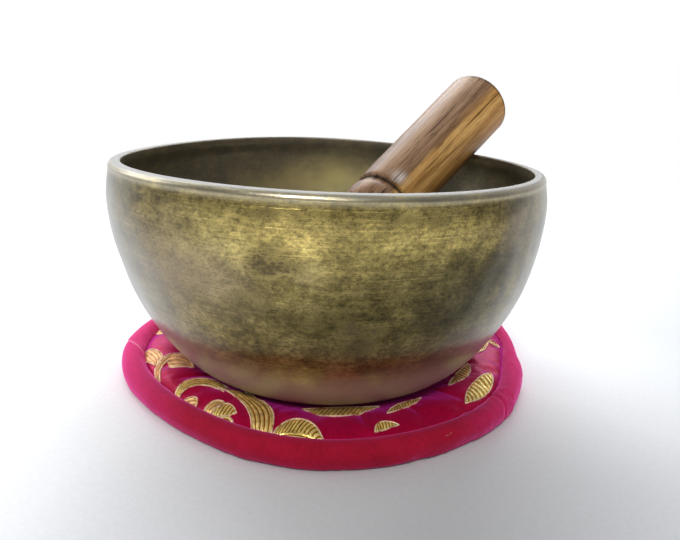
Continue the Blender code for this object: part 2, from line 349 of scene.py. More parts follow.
# Soft places on the wall: (angle in degrees, height in mm, half width and half height in mm, strength).
# The negative angles face the viewer, and the positive ones are on the back.
STAINS = (
    (-102, 69.2, 6.5, 3.6, 0.85), (-98, 67.8, 4, 2.4, 0.45), (-99.5, 73, 4.5, 1.8, 0.4),
    (-102, 84.6, 6, 2.4, 0.75), (-95, 84.3, 5, 1.6, 0.5),
    (-99, 52.5, 17, 2.6, 0.5), (-106, 57, 6, 2.6, 0.4), (-84, 49, 11, 2.6, 0.45), (-83, 40, 6, 5, 0.55),
    (-53, 67.5, 4, 3.2, 0.42), (-47, 71, 3, 4, 0.3), (-41, 85, 4, 2.4, 0.32),
    (-113, 85.5, 6, 2.2, 0.35), (-121, 66.5, 3, 2, 0.45), (-116, 63, 3, 2, 0.35),
    (-75, 84, 16, 1.8, 0.45), (-62, 83, 12, 2.0, 0.4), (-80, 61, 22, 2.2, 0.3), (-60, 50, 14, 4, 0.35),
    (-84, 44, 5, 5, 0.35),
    (40, 60, 14, 5, 0.6), (75, 45, 20, 4, 0.5), (110, 75, 12, 5, 0.7), (150, 52, 14, 6, 0.6),
    (172, 80, 8, 4, 0.5), (10, 78, 9, 3, 0.5), (128, 35, 14, 4, 0.5), (95, 62, 6, 3, 0.6),
)
# Lighter places: worn bronze, and in front below the lip also a painted highlight.
WORN_AND_HIGHLIT = (
    (-95, 80, 12, 6.5, 1.1), (-72, 80, 20, 5.5, 0.85), (-60, 77.5, 15, 5, 0.75), (-90, 74, 13, 5, 0.4),
    (-106, 78, 14, 8, 0.35), (-86, 68, 20, 5, 0.35),
    (30, 74, 26, 8, 0.7), (120, 60, 26, 10, 0.5), (170, 66, 20, 8, 0.6),
)
ROSY = (
    (-127, 62, 19, 17, 1.0), (-112, 60, 13, 12, 0.6), (-43, 74, 9, 14, 0.8),
    (-93, 67, 6, 4, 0.5), (-143, 79, 5, 3, 0.9),
    (80, 60, 20, 14, 0.8), (150, 76, 18, 10, 0.7),
)
SHADED = (
    (-62, 20, 26, 9, 0.6), (-84, 58, 15, 8, 0.22), (-52, 44, 15, 10, 0.25),
    (-57, 60, 20, 20, 0.55), (-72, 66, 16, 5, 0.3), (-84, 34, 42, 12, 0.5), (-66, 52, 24, 12, 0.5),
    (-44, 84, 14, 8, 0.4), (-100, 50, 26, 8, 0.3),
    (-128, 60, 26, 30, 0.35), (-138, 83, 13, 5, 0.45), (-121, 81, 6, 7, 0.3), (-50, 66, 13, 11, 0.4),
    (60, 40, 50, 14, 0.5), (160, 36, 50, 12, 0.5), (100, 84, 40, 5, 0.3),
)
# Painted light on the inside wall: places painted lighter, where the light falls.
PAINTED_LIGHT_INSIDE = ((86, 67, 24, 11, 1.0), (112, 60, 24, 12, 0.45), (-80, 40, 40, 20, 0.5))


def polar(points):
    return np.hypot(points[..., 0], points[..., 1]), np.arctan2(points[..., 1], points[..., 0])


def make_bowl():
    outline = bowl_outline()
    points = lathe(outline, BOWL_STEPS)
    radius, angle = polar(points)
    depth = -points[..., 2]
    fade = np.clip(1 - depth / OUT_OF_ROUND_FADE, 0, 1) * (radius > BASE_RADIUS * 0.6)
    scale = 1 + fade * harmonics(angle, OUT_OF_ROUND)
    height = points[..., 2] + fade * harmonics(angle, RIM_WAVE)
    below_lip = smoothstep(depth, 0, LIP_FADE)
    dents = sum(deep * waves(points, length, seed) for deep, length, seed in HAMMERED)
    dents *= below_lip * smoothstep(radius, 20 * MM, 50 * MM)
    scale += (dents - 0.05 * MM) / np.maximum(radius, 1 * MM) * below_lip
    points = np.stack([points[..., 0] * scale, points[..., 1] * scale, height], -1)
    mesh = grid_mesh("bowl_bronze", points, bronze_material(), cap=True)
    store_bowl_zones(mesh, outline[:, 1])
    add_object("bowl_bronze", mesh, "bowl", ("bowl",), location=(0, 0, RIM_HEIGHT))


def store_bowl_zones(mesh, levels):
    """Marks the wall's soft places, the foot, and the zones of the lip. Levels are the outline's heights."""
    verts = vertices(mesh)
    angle = polar(verts)[1]
    wall_height = verts[:, 2] + RIM_HEIGHT

    def per_vertex(values, first=0.0, last=0.0):
        return np.append(np.repeat(values, BOWL_STEPS), [first, last])

    inside = per_vertex((np.arange(len(levels)) > levels.argmax() + 4).astype(float), last=1.0)
    outside = 1 - inside
    wander = 2.6 * MM * waves(verts, 11 * MM, 5) + 1.3 * MM * waves(verts, 5 * MM, 6)
    drift = 1.8 * MM * waves(verts, 13 * MM, 7) + 0.7 * MM * waves(verts, 5 * MM, 8)
    layers = (("stain", STAINS, outside), ("worn_and_highlit", WORN_AND_HIGHLIT, outside), ("rosy", ROSY, outside),
              ("shaded", SHADED, outside), ("glow", PAINTED_LIGHT_INSIDE, inside))
    for name, places, side in layers:
        total = np.zeros(len(verts))
        for centre, up, wide, high, strength in places:
            turn = (angle - math.radians(centre) + math.pi) % math.tau - math.pi
            across = (turn * RIM_RADIUS + wander) / (wide * MM)
            above = (wall_height - up * MM + drift) / (high * MM)
            total += strength * np.exp(-(across ** 2 + above ** 2))
        store(mesh, name, total * side)
    lip = per_vertex(smoothstep(levels, -0.6 * MM, -0.1 * MM))
    edge = per_vertex(smoothstep(levels, -4.5 * MM, -0.8 * MM)) * outside
    store(mesh, "foot", smoothstep(-wall_height, -36 * MM, -17 * MM) * outside)
    store(mesh, "edge", edge * (1 - lip))
    store(mesh, "lip", lip)
    store(mesh, "inside", inside * (1 - lip))


def bronze_material():
    mat, tree, bsdf = new_material("aged_bronze")
    stain, worn_and_highlit, rosy, shaded, glow, foot, lip, inside, edge = attributes(
        tree, "stain", "worn_and_highlit", "rosy", "shaded", "glow", "foot", "lip", "inside", "edge")
    outside = minus(tree, 1.0, inside)

    zones = noise(tree, 30, 3, 0.55)
    cloudy = noise(tree, 125, 8, 0.72, (1, 1, 1.3))
    grain = noise(tree, 640, 6, 0.78, (1, 1, 1.4))
    pitted = noise(tree, 1300, 3, 0.6, (1, 1, 1.3))
    lines = noise(tree, 60, 3, 0.5, (1, 1, 26))
    scratches = noise(tree, 42, 2, 0.5, (1, 1, 60), (0.10, 0.06, 0))

    olive = [(0.36, (0.115, 0.084, 0.022)), (0.48, (0.265, 0.205, 0.058)), (0.62, (0.45, 0.36, 0.125))]
    colour = ramp(tree, weighted(tree, (cloudy, 0.6), (zones, 0.4)), olive)
    # Rosy patina, then the worn places painted lighter gold, which in front is also a painted highlight.
    colour = paint(tree, colour, (rosy, 0.7, (0.35, 0.27, 0.185)), (worn_and_highlit, 0.62, (0.68, 0.53, 0.17)))
    darker = minus(tree, 1.0, times(tree, shaded, 0.8, True))
    colour = mix(tree, 1.0, colour, darker, "MULTIPLY")
    # Scratches lighten the colour up to twice, most on the worn places: real scratches, with painted glints
    # on them.
    scratches_and_glints = times(tree, plus(tree, times(tree, worn_and_highlit, 0.9), 0.25, True), outside)
    for share, less_if_rosy, pattern, stops in (
        (0.6, 0.45, cloudy, [(0.36, 0.55), (0.5, 1.0), (0.64, 1.3)]),
        (0.35, 0.25, lines, [(0.36, 0.6), (0.5, 1.0), (0.64, 1.4)]),
        (None, None, scratches, [(0.60, 1.0), (0.70, 2.0)]),
        (0.75, 0.5, grain, [(0.38, 0.35), (0.5, 1.0), (0.64, 1.6)]),
    ):
        shown = minus(tree, share, times(tree, rosy, less_if_rosy), True) if share else scratches_and_glints
        colour = multiply(tree, shown, colour, pattern, stops)
    colour = multiply(tree, 0.5, colour, pitted, [(0.33, 0.25), (0.42, 1.0)])
    # Painted sheen: the outer wall turns grey where it is slanted to the view.
    painted_grazing_sheen = times(tree, ramp(tree, facing(tree), [(0.45, 0.0), (0.85, 1.0)]), outside)

    ragged = weighted(tree, (stain, 1.0), (cloudy, 3.0), (grain, 4.0), (lines, 1.0))
    ragged = ramp(tree, minus(tree, ragged, 4.0), [(0.40, 0.0), (1.10, 1.0)])
    patch = times(tree, ragged, ramp(tree, stain, [(0.1, 0.0), (0.3, 1.0)]))
    # The glow coat is painted light, lightening the inside wall.
    colour = paint(tree, colour, (foot, 0.8, (0.50, 0.37, 0.21)), (painted_grazing_sheen, 0.75, (0.36, 0.36, 0.355)),
                   (patch, 0.85, (0.062, 0.042, 0.026)), (inside, 0.72, (0.215, 0.205, 0.185)),
                   (glow, 0.85, (0.82, 0.74, 0.34)), (edge, 0.55, (0.70, 0.65, 0.52)),
                   (lip, 0.9, (0.33, 0.325, 0.315)))

    rough = ramp(tree, grain, [(0.3, 0.29), (0.7, 0.42)])
    for where, level in ((patch, 0.5), (lip, 0.5), (edge, 0.33)):
        rough = mix(tree, where, rough, (level, level, level))
    dull = weighted(tree, (patch, 0.45), (inside, 0.35), (lip, 0.9), (foot, 0.72))
    covered = maths(tree, "MAXIMUM", times(tree, foot, 0.85), maths(tree, "MAXIMUM", patch, lip))
    glints = times(tree, ramp(tree, scratches, [(0.60, 0.0), (0.70, 1.0)]), outside)
    fill_in(tree, bsdf, {
        "Base Color": colour, "Roughness": rough, "Metallic": minus(tree, 1.0, dull, True),
        "Specular IOR Level": ramp(tree, lip, [(0.0, 0.5), (1.0, 0.1)]), "Specular Tint": (0.72, 0.71, 0.69),
        "Coat Weight": times(tree, minus(tree, 1.0, covered), 0.45), "Coat Roughness": 0.16,
        "Normal": bumps(tree, (glints, 0.6, 0.05 * MM), (lines, 0.4, 0.06 * MM), (grain, 0.45, 0.07 * MM))})
    return mat


# ---------------------------------------------------------------- mallet

HEAD_LENGTH = 87.8 * MM
HEAD_END_RADIUS, GROOVE_RADIUS = 16.6 * MM, 14.8 * MM
GROOVE_WIDTH, GROOVE_DEPTH = 2.6 * MM, 1.8 * MM
EDGE_ROUNDING = 2 * MM
BEAD_LENGTH = 11.5 * MM
NECK_RADIUS, HANDLE_RADIUS, HANDLE_LENGTH = 9.5 * MM, 11.2 * MM, 65.2 * MM
KNOB_RADIUS, KNOB_LENGTH = 12.2 * MM, 16 * MM
MALLET_GROOVE = Vector((0.0231, 0.0032, 0.0714))
MALLET_STEPS = 160
GLINT = (math.radians(127), 4.5 * MM, 3.0 * MM, 3.2 * MM)      # painted highlight: turn, height, half sizes
BEAD_HALF_ARC, BEAD_HEIGHT = math.radians(65), 1.6 * MM
END_DOME = 0.6 * MM


def mallet_outline():
    """Turned outline from the thick end down, heights from the groove along the mallet's axis."""
    top, half = HEAD_LENGTH, GROOVE_WIDTH / 2
    face_shares = np.array([0.02, 0.2, 0.45, 0.7])
    face = np.stack([HEAD_END_RADIUS * face_shares, top - END_DOME * face_shares ** 2], -1)
    edge = arc((HEAD_END_RADIUS - EDGE_ROUNDING, top - EDGE_ROUNDING - END_DOME), EDGE_ROUNDING, 84, 4, 9)
    heights = np.linspace(top - 3.2 * MM, half + 0.7 * MM, 44)
    side = np.stack([GROOVE_RADIUS + (HEAD_END_RADIUS - GROOVE_RADIUS) * heights / top, heights], -1)
    groove = np.array([
        (GROOVE_RADIUS - 0.12 * MM, half + 0.25 * MM), (GROOVE_RADIUS - 0.5 * MM, half - 0.15 * MM),
        (GROOVE_RADIUS - GROOVE_DEPTH * 0.75, 0.4 * MM), (GROOVE_RADIUS - GROOVE_DEPTH, 0.05 * MM),
        (GROOVE_RADIUS - GROOVE_DEPTH * 0.75, -0.4 * MM)])
    turn = np.linspace(-BEAD_HALF_ARC, BEAD_HALF_ARC, 15)
    swell = (np.cos(turn) - math.cos(BEAD_HALF_ARC)) / (1 - math.cos(BEAD_HALF_ARC))
    bead_heights = -half - BEAD_LENGTH / 2 - np.sin(turn) / math.sin(BEAD_HALF_ARC) * BEAD_LENGTH / 2
    bead = np.stack([GROOVE_RADIUS - BEAD_HEIGHT * (1 - swell), bead_heights], -1)
    neck = -half - BEAD_LENGTH - 4 * MM
    start = bead[-1]
    to_neck = bezier(start, (NECK_RADIUS + 1 * MM, start[1] - 1 * MM),
                     (NECK_RADIUS, neck + 2 * MM), (NECK_RADIUS, neck), 8)
    end = neck - HANDLE_LENGTH
    handle = bezier((NECK_RADIUS, neck), (HANDLE_RADIUS + 1.2 * MM, neck - HANDLE_LENGTH * 0.3),
                    (HANDLE_RADIUS, end + HANDLE_LENGTH * 0.3), (NECK_RADIUS, end), 34)
    last = end - KNOB_LENGTH
    knob = bezier((NECK_RADIUS, end), (KNOB_RADIUS * 1.25, end - KNOB_LENGTH * 0.1),
                  (KNOB_RADIUS * 1.25, last), (0.0002, last), 22)
    return np.vstack([face, edge, side, groove, bead, to_neck, handle, knob])


def make_mallet():
    points = lathe(mallet_outline(), MALLET_STEPS)
    grain = waves(points * np.array([1, 1, 0.12]), 3.5 * MM, 11)
    uneven = 0.02 * MM * grain + 0.05 * MM * waves(points, 22 * MM, 12) - 0.05 * MM
    radius = np.maximum(polar(points)[0], 0.5 * MM)
    scale = 1 + uneven / radius * smoothstep(radius, 2 * MM, 8 * MM)
    points = points * np.stack([scale, scale, np.ones_like(scale)], -1)
    mesh = grid_mesh("mallet_wood", points, walnut_material(), cap=True)
    mesh.flip_normals()
    verts = vertices(mesh)
    turn, up, wide, high = GLINT
    across = (polar(verts)[1] - turn) * GROOVE_RADIUS / wide
    above = (verts[:, 2] - up) / high
    store(mesh, "painted_glint", np.exp(-across ** 2 - above ** 2) * (verts[:, 2] > GROOVE_WIDTH / 2))
    add_object("mallet_wood", mesh, "mallet", ("mallet",),
               MALLET_GROOVE, MALLET_AXIS.to_track_quat("Z", "Y"))


def walnut_material():
    mat, tree, bsdf = new_material("polished_walnut")
    broad = noise(tree, 100, 4, 0.55, (1, 1, 0.08), distortion=0.5)
    streak = noise(tree, 420, 5, 0.65, (1, 1, 0.03), distortion=0.3)
    dark = noise(tree, 430, 5, 0.62, (1, 1, 0.03), distortion=0.6)
    pores = noise(tree, 1900, 2, 0.5, (1, 1, 0.05))
    x, y, along = node(tree, "ShaderNodeSeparateXYZ", {0: object_coords(tree)}).outputs
    figure = weighted(tree, (broad, 0.5), (streak, 0.5))
    rosy, golden = (ramp(tree, figure, list(zip((0.38, 0.5, 0.62), colours))) for colours in (
        ((0.11, 0.054, 0.028), (0.28, 0.158, 0.085), (0.42, 0.26, 0.15)),
        ((0.20, 0.080, 0.020), (0.52, 0.265, 0.075), (0.74, 0.45, 0.16))))
    across = weighted(tree, (x, -0.71 / HEAD_END_RADIUS), (y, -0.71 / HEAD_END_RADIUS), (broad, 0.8))
    colour = mix(tree, ramp(tree, across, [(0.30, 0.0), (0.55, 1.0)]), rosy, golden)
    shadowed = ramp(tree, times(tree, across, 0.5), [(0.54, 0.0), (0.72, 1.0)])
    colour = paint(tree, colour, (shadowed, 0.7, (0.26, 0.095, 0.030)))
    colour = multiply(tree, 0.8, colour, dark, [(0.36, 0.16), (0.43, 1.0)])
    colour = multiply(tree, 0.6, colour, pores, [(0.36, 0.35), (0.44, 1.0)])
    # Darker close to the groove.
    darker_at_groove = rescale(tree, maths(tree, "ABSOLUTE", along), 0.3 * MM, 1.2 * MM, 0.12, 1.0)
    # Painted shade on the thick end's rounding, with the darker end grain.
    end_shade_and_grain = rescale(tree, along, HEAD_LENGTH - 3.6 * MM, HEAD_LENGTH - 2.4 * MM, 1.0, 0.4)
    for shade in (darker_at_groove, end_shade_and_grain):
        colour = mix(tree, 1.0, colour, shade, "MULTIPLY")
    # Painted highlight: a pale glint streaked with the grain, just above the groove.
    painted_glint = times(tree, *attributes(tree, "painted_glint"), ramp(tree, streak, [(0.42, 0.15), (0.58, 1.0)]))
    fill_in(tree, bsdf, {
        "Base Color": paint(tree, colour, (painted_glint, 0.8, (0.92, 0.86, 0.80))),
        "Roughness": ramp(tree, streak, [(0.3, 0.38), (0.7, 0.48)]),
        "Specular IOR Level": 0.12, "Coat Weight": 0.07, "Coat Roughness": 0.15,
        "Normal": bumps(tree, (pores, 0.3, 0.06 * MM), (streak, 0.4, 0.08 * MM))})
    return mat


# ---------------------------------------------------------------- cushion

CUSHION_RADIUS = 89.1 * MM
CUSHION_CENTRE = Vector((3.5 * MM, 0, 0))
CUSHION_WOBBLE = ((2, 0.0006, 0.0284), (3, -0.0112, 0.0159), (4, -0.0129, 0.0139), (5, -0.0152, -0.0129))
CUSHION_REAR_CALM = 0.8
BINDING = 9.5 * MM
NARROW_PLACE = (math.radians(4), math.radians(15), 3.6 * MM)    # a narrow place: where, how far, how much
BINDING_MIDDLE = CUSHION_RADIUS - BINDING / 2
PRESSED_RADIUS = 56 * MM
# The joins of the two strips: turn and slant in degrees, depth of the groove, and whether a pale hem shows
SEAM_LEFT = dict(turn=192.25, slant=4.75, groove=0.14 * MM, hem=1)
SEAM_RIGHT = dict(turn=320.5, slant=1.5, groove=0.42 * MM, hem=0)
ROLL_SQUARE = 0.5                   # how square the roll's lower half is: 1 is round
PAINTED_SIDE_LIGHT_FROM = 46 * MM                # painted light: the binding is paler from here out to both sides
BROCADE_PRESSED = BASE_HEIGHT - CLEAR
BROCADE_EDGE = CUSHION_RADIUS - BINDING - CLEAR
BROCADE_HEIGHT = 6.6 * MM
LINING_THICKNESS = 0.7 * MM
CLOTH_SCALE = 10                    # Blender's cloth is tuned for large things, so it is run larger
CLOTH_FRAMES = 20
WEAVE_PITCH = 0.42 * MM


def outline_scale(angle):
    calm = CUSHION_REAR_CALM * smoothstep(np.sin(angle), 0.25, 0.85)
    return 1 + (1 - calm) * harmonics(angle, CUSHION_WOBBLE)


def narrowing(angle):
    """How much narrower than usual the binding is at an angle, in metres."""
    centre, spread, most = NARROW_PLACE
    away = (angle - centre + math.pi) % math.tau - math.pi
    return most * np.exp(-(away / spread) ** 2)


def on_cushion(radius, angle, height):
    """World points from a radius, angle and height on the cushion, whose outline is a wobbly circle."""
    share = np.minimum(1, radius / PRESSED_RADIUS)
    scaled = radius * (1 + (outline_scale(angle) - 1) * share)
    x = CUSHION_CENTRE.x + scaled * np.cos(angle)
    y = CUSHION_CENTRE.y + scaled * np.sin(angle)
    return np.stack([x, y, height + 0 * x], -1)


def swell(obj, pinned, pressure, cap, slack):
    """Runs Blender's cloth with inner pressure, holding the pinned vertices. Moves stay below the cap."""
    mesh = obj.data
    before = vertices(mesh)
    mesh.transform(Matrix.Scale(CLOTH_SCALE, 4))
    group = obj.vertex_groups.new(name="pinned")
    for index in np.flatnonzero(pinned > 0.01):
        group.add([int(index)], float(pinned[index]), "REPLACE")
    cloth = obj.modifiers.new("cloth", "CLOTH")
    settings = cloth.settings
    settings.use_pressure = True
    settings.uniform_pressure_force = pressure
    settings.effector_weights.gravity = 0
    settings.vertex_group_mass = group.name
    settings.shrink_min = -slack
    settings.mass = 0.2
    settings.bending_stiffness = 0.2
    cloth.point_cache.frame_end = CLOTH_FRAMES
    scene = bpy.context.scene
    for frame_number in range(1, CLOTH_FRAMES + 1):
        scene.frame_set(frame_number)
    evaluated = obj.evaluated_get(bpy.context.evaluated_depsgraph_get())
    after = vertices(evaluated.data) / CLOTH_SCALE
    obj.modifiers.remove(cloth)
    obj.vertex_groups.remove(group)
    scene.frame_set(1)
    move = after - before
    length = np.linalg.norm(move, axis=1)[:, None]
    move *= cap * np.tanh(length / cap) / np.maximum(length, 1e-9)
    mesh.vertices.foreach_set("co", (before + move).ravel())
    mesh.update()


def smooth_once(obj):
    subdivision = obj.modifiers.new("subdivision", "SUBSURF")
    subdivision.levels = subdivision.render_levels = 1


def make_binding(name, start, end, full_turns, stands_for):
    """One padded strip of the binding, from one join to the other, which may be whole turns further on."""
    around = turns(28)
    first = np.radians(start["turn"] - start["slant"] * np.cos(around))
    last = np.radians(end["turn"] + 360 * full_turns - end["slant"] * np.cos(around))
    length = (last.mean() - first.mean()) * BINDING_MIDDLE
    even = np.linspace(0, 1, int(length / (1.5 * MM)))[:, None]
    share = 0.65 * even + 0.35 * (1 - np.cos(math.pi * even)) / 2
    angle = first + (last - first) * share
    from_end = np.minimum(share, 1 - share) * length
    ends = np.exp(-(from_end / (1.0 * MM)) ** 2)
    groove = np.where(share < 0.5, start["groove"], end["groove"])
    section = BINDING / 2 - groove * ends + 0 * around
    gathers = np.sin(share * length / (2.9 * MM) * math.tau + 2 * np.sin(around))
    gathers *= np.exp(-from_end / (9 * MM))
    section = section + 0.2 * groove * gathers
    up, out = np.sin(around), np.cos(around)
    out = np.where(up < 0, np.sign(out) * np.abs(out) ** ROLL_SQUARE, out * (1 + 0.05 * up))
    width = section - narrowing(angle) / 2
    radius = BINDING_MIDDLE + 0.5 * MM + narrowing(angle) / 2 + width * out
    flat = np.where(up < 0, 0.93, 1.0)
    height = BINDING / 2 - 0.15 * MM + section * up * flat
    points = on_cushion(radius, angle, height)
    outward = np.stack([np.cos(angle), np.sin(angle), 0.6 * np.sign(up) + 0 * angle], -1)
    points = points + 0.08 * MM * waves(points, 15 * MM, 21)[..., None] * outward
    mesh = grid_mesh(name, points, cotton_material(), cap=True)
    hem = np.exp(-(from_end / (0.7 * MM)) ** 2) * np.where(share < 0.5, start["hem"], end["hem"])
    for layer, values, at_caps in (("hem", hem + 0 * around, [start["hem"], end["hem"]]),
                                   ("along", share * length + 0 * around, [0, length]),
                                   ("around", around * BINDING / 2 + 0 * share, [0, 0])):
        store(mesh, layer, np.append(values.ravel(), at_caps))
    obj = add_object(name, mesh)
    stitch = 0.75 + 0.25 * np.cos(share * length / (5.5 * MM) * math.tau)
    seam = np.exp(-((around - math.radians(160)) / 0.22) ** 2) * stitch
    rest = smoothstep(-up, 0.70, 0.92) + 0 * share
    held = np.maximum(np.maximum(seam, rest), ends + 0 * around)
    swell(obj, np.append(np.clip(held, 0, 1).ravel(), [1, 1]), 6.0, 0.32 * MM, 0.05)
    for vertex in mesh.vertices:
        vertex.co.z = max(vertex.co.z, 0.05 * MM)       # nothing goes into the table
    smooth_once(obj)
    attach(obj, "cushion", (stands_for,))


def brocade_outline():
    flat = BASE_RADIUS
    rise = bezier((flat, BROCADE_PRESSED), (flat + 7 * MM, BROCADE_PRESSED + 0.2 * MM),
                  (flat + 14 * MM, BROCADE_HEIGHT + 1.0 * MM), (BROCADE_EDGE, BROCADE_HEIGHT), 22)
    pressed = np.linspace(0.4 * MM, flat, 34)
    middle = np.stack([pressed, np.full(34, BROCADE_PRESSED)], -1)
    tucked = np.array([(BROCADE_EDGE + 0.9 * MM, BROCADE_HEIGHT - 0.9 * MM),
                       (BROCADE_EDGE + 1.3 * MM, BROCADE_HEIGHT - 2.4 * MM)])
    return np.vstack([middle, rise, tucked])


def make_brocade():
    outline = brocade_outline()
    angles = turns(300)
    radius, height = outline[:, :1], outline[:, 1:]
    free = smoothstep(radius, PRESSED_RADIUS - 1 * MM, PRESSED_RADIUS + 9 * MM)
    free = free * smoothstep(-radius, -BROCADE_EDGE, -BROCADE_EDGE + 2 * MM)
    puckers = np.sin(angles * 47 + 2 * np.sin(angles * 5))
    puckers = puckers * smoothstep(radius, BROCADE_EDGE - 7 * MM, BROCADE_EDGE - 1 * MM)
    wider = narrowing(angles) * smoothstep(radius, PRESSED_RADIUS, BROCADE_EDGE)
    points = on_cushion(radius + wider, angles, height + 0.13 * MM * puckers * free)
    points[..., 2] += 0.3 * MM * free * waves(points, 16 * MM, 31)
    mesh = grid_mesh("brocade", points, satin_material())
    mesh.flip_normals()
    obj = add_object("brocade", mesh)
    held = 1 - np.clip(free + 0 * angles, 0, 1)
    swell(obj, held.ravel(), 2.5, 0.9 * MM, 0.03)
    smooth_once(obj)
    return attach(obj, "cushion", ("brocade_top",))


def add_cushion_layer(name, outline, steps, uneven, material, stands_for):
    """A closed round layer of the cushion, from its outline. Uneven gives its points' height offsets."""
    points = on_cushion(outline[:, :1], turns(steps), outline[:, 1:])
    points[..., 2] += uneven(points)
    add_object(name, grid_mesh(name, points, material, cap=True), "cushion", (stands_for,))


def make_filling():
    low, high = LINING_THICKNESS + CLEAR, 1.0 * MM
    top = brocade_outline()[:-2]
    upper = np.stack([top[:, 0] * 0.985, np.maximum(top[:, 1] - high, low + 0.3 * MM)], -1)
    radii = np.linspace(upper[-1, 0], 0.4 * MM, 24)
    outline = np.vstack([upper, np.stack([radii, np.full(24, low)], -1)])
    add_cushion_layer("cushion_wadding", outline, 180, lambda points: 0.12 * MM * waves(points, 9 * MM, 41),
                      wadding_material(), "filling_pad")


def make_lining():
    edge = BROCADE_EDGE + 1.0 * MM
    radii = np.concatenate([np.linspace(0.4 * MM, edge - 0.4 * MM, 30), [edge]])
    lower = np.stack([radii, np.full(31, 0.02 * MM)], -1)
    upper = np.stack([radii[::-1], np.full(31, LINING_THICKNESS)], -1)
    outline, angles = np.vstack([lower, upper]), turns(200)

    def uneven(points):
        gathers = smoothstep(outline[:, :1], edge - 14 * MM, edge - 1 * MM)
        gathers = gathers * np.sin(angles * 60 + 3 * np.sin(angles * 7))
        return 0.09 * MM * (gathers + 1) + 0.10 * MM * np.maximum(0, waves(points, 18 * MM, 42) + 1)

    add_cushion_layer("cushion_lining", outline, len(angles), uneven, lining_material(),
                      "base_cloth")


# ---- gold motifs, laid on the brocade in thread

def curve_through(p0, p1, p2, p3, steps=40):
    """Bezier curve from p0 to p3 with control points p1 and p2, in millimetres on the cushion."""
    return bezier(p0, p1, p2, p3, steps, skip_first=False)


LEAF_VEINS = 0.66                   # how far across a veined leaf its lengthwise threads start
THREAD_RADIUS, THREAD_RISE = 0.28 * MM, 0.13 * MM      # of the outlines


def leaf(base, tip, left, right, ribs=16, tone=0.0, lean=0.0, veined=False):
    """A pointed leaf whose sides bulge by left and right (mm). Lean moves the bulge to the base."""
    base, tip = np.array(base, float), np.array(tip, float)
    along = tip - base
    normal = np.array([-along[1], along[0]]) / np.linalg.norm(along)
    sides = [curve_through(base, base + along * (0.3 - lean) + normal * b * 4 / 3,
                           base + along * (0.7 - lean) + normal * b * 4 / 3, tip) for b in (left, -right)]
    return dict(sides=sides, ribs=ribs, along=False, slant=0.16, tone=tone, veined=veined)


def band(left, right, ridges=5, tone=0.0):
    """A curved band between two sides, each four control points, with ridges running along it."""
    return dict(sides=[curve_through(*left), curve_through(*right)], ribs=ridges, along=True, tone=tone)


def disc(centre, radius, tone=1.0):
    x, y = centre
    left, right, bulge = x - radius, x + radius, 1.33 * radius
    sides = [[(left, y), (left, y + s * bulge), (right, y + s * bulge), (right, y)] for s in (1, -1)]
    return band(*sides, ridges=3, tone=tone)


MOTIFS = [
    leaf((-79, 3), (-74, -5), 1.2, 1.6, 5, 1.0),
    band([(-68.5, -34.5), (-72, -32), (-75.5, -28), (-78, -22)],
         [(-67.2, -34), (-66, -25), (-71, -19), (-77, -21)], 4, 1.0),
    band([(-63.6, -47), (-68.5, -40), (-69.5, -31), (-65, -24)],
         [(-63.2, -46), (-66, -38), (-66, -32), (-62, -27)], 3, 1.0),
    band([(-66, -30), (-65, -21), (-59.5, -17), (-52.3, -34.8)],
         [(-62.8, -34), (-62, -41), (-58, -34), (-52.5, -35)], 4, 0.9),
    band([(-55, -58), (-56, -46), (-47, -37.5), (-36, -48)],
         [(-53.5, -58.5), (-51, -49), (-44, -47), (-37, -54)], 4, 0.1),
    band([(-40, -49.8), (-29, -57.5), (-23.5, -67), (-23, -82)],
         [(-30, -49), (-19, -58), (-14.5, -66), (-16.8, -82)], 5, 0.25),
    disc((-48.3, -61.5), 3.2, 0.7),
    band([(-42.3, -69.5), (-42, -62), (-38, -58.5), (-35.2, -61.5)],
         [(-40.5, -70), (-39, -67), (-37.5, -65), (-36, -64.5)], 3, 0.6),
    leaf((-38.8, -68.5), (-29.8, -68.8), 6.4, 1.6, 7, 0.0, 0.03),
    band([(-38.2, -71), (-36.5, -68.5), (-31.5, -69), (-30.3, -73)],
         [(-36.8, -73), (-35.5, -71.5), (-32.5, -71.8), (-31.8, -74)], 2, 0.1),
    leaf((-32.3, -75), (-27.2, -77.2), 1.8, 0.2, 4, 0.3),
    leaf((-16.6, -80.5), (2.0, -83.0), 10.6, 0.5, 15, 0.0, 0.10, veined=True),
    leaf((-6.9, -60.6), (22, -55.8), 2.0, 8.8, 17, 0.2, 0.08),
    leaf((24, -64.4), (38.6, -49.6), 2.6, 1.7, 13, 0.4),
    leaf((18.8, -77.0), (27.6, -71.6), 3.8, 0.3, 9, 0.0),
    leaf((54.4, -56), (71.0, -29.0), 3.1, 4.2, 11, 0.0),
    leaf((51.0, -40), (63.2, -20.5), 1.5, 4.0, 12, 0.4),
    leaf((69.3, -11), (77.5, 2), 1.4, 1.5, 9, 0.4),
]


def rosette():
    """Eight long petals and eight short ones in the middle of the cushion, where the bowl stands."""
    petals = []
    for i in range(8):
        for turn, near, far, bulge in ((0, 9, 36, 4.6), (22.5, 30, 49, 3.6)):
            a = math.radians(i * 45 + turn)
            direction = np.array([math.cos(a), math.sin(a)])
            petals.append(leaf(direction * near, direction * far, bulge, bulge, 20, 0.2))
    return petals + [disc((0, 0), 6, 0.3)]


def place(flat, turn):
    """Turns points in millimetres round the cushion, keeping their share of the way to its edge."""
    flat = flat * MM - np.array(CUSHION_CENTRE[:2])
    angle = np.arctan2(flat[..., 1], flat[..., 0])
    radius = np.hypot(flat[..., 0], flat[..., 1])
    share = np.minimum(1, radius / PRESSED_RADIUS)
    radius = radius / (1 + (outline_scale(angle) - 1) * share)
    return on_cushion(radius, angle + turn, 0 * radius)


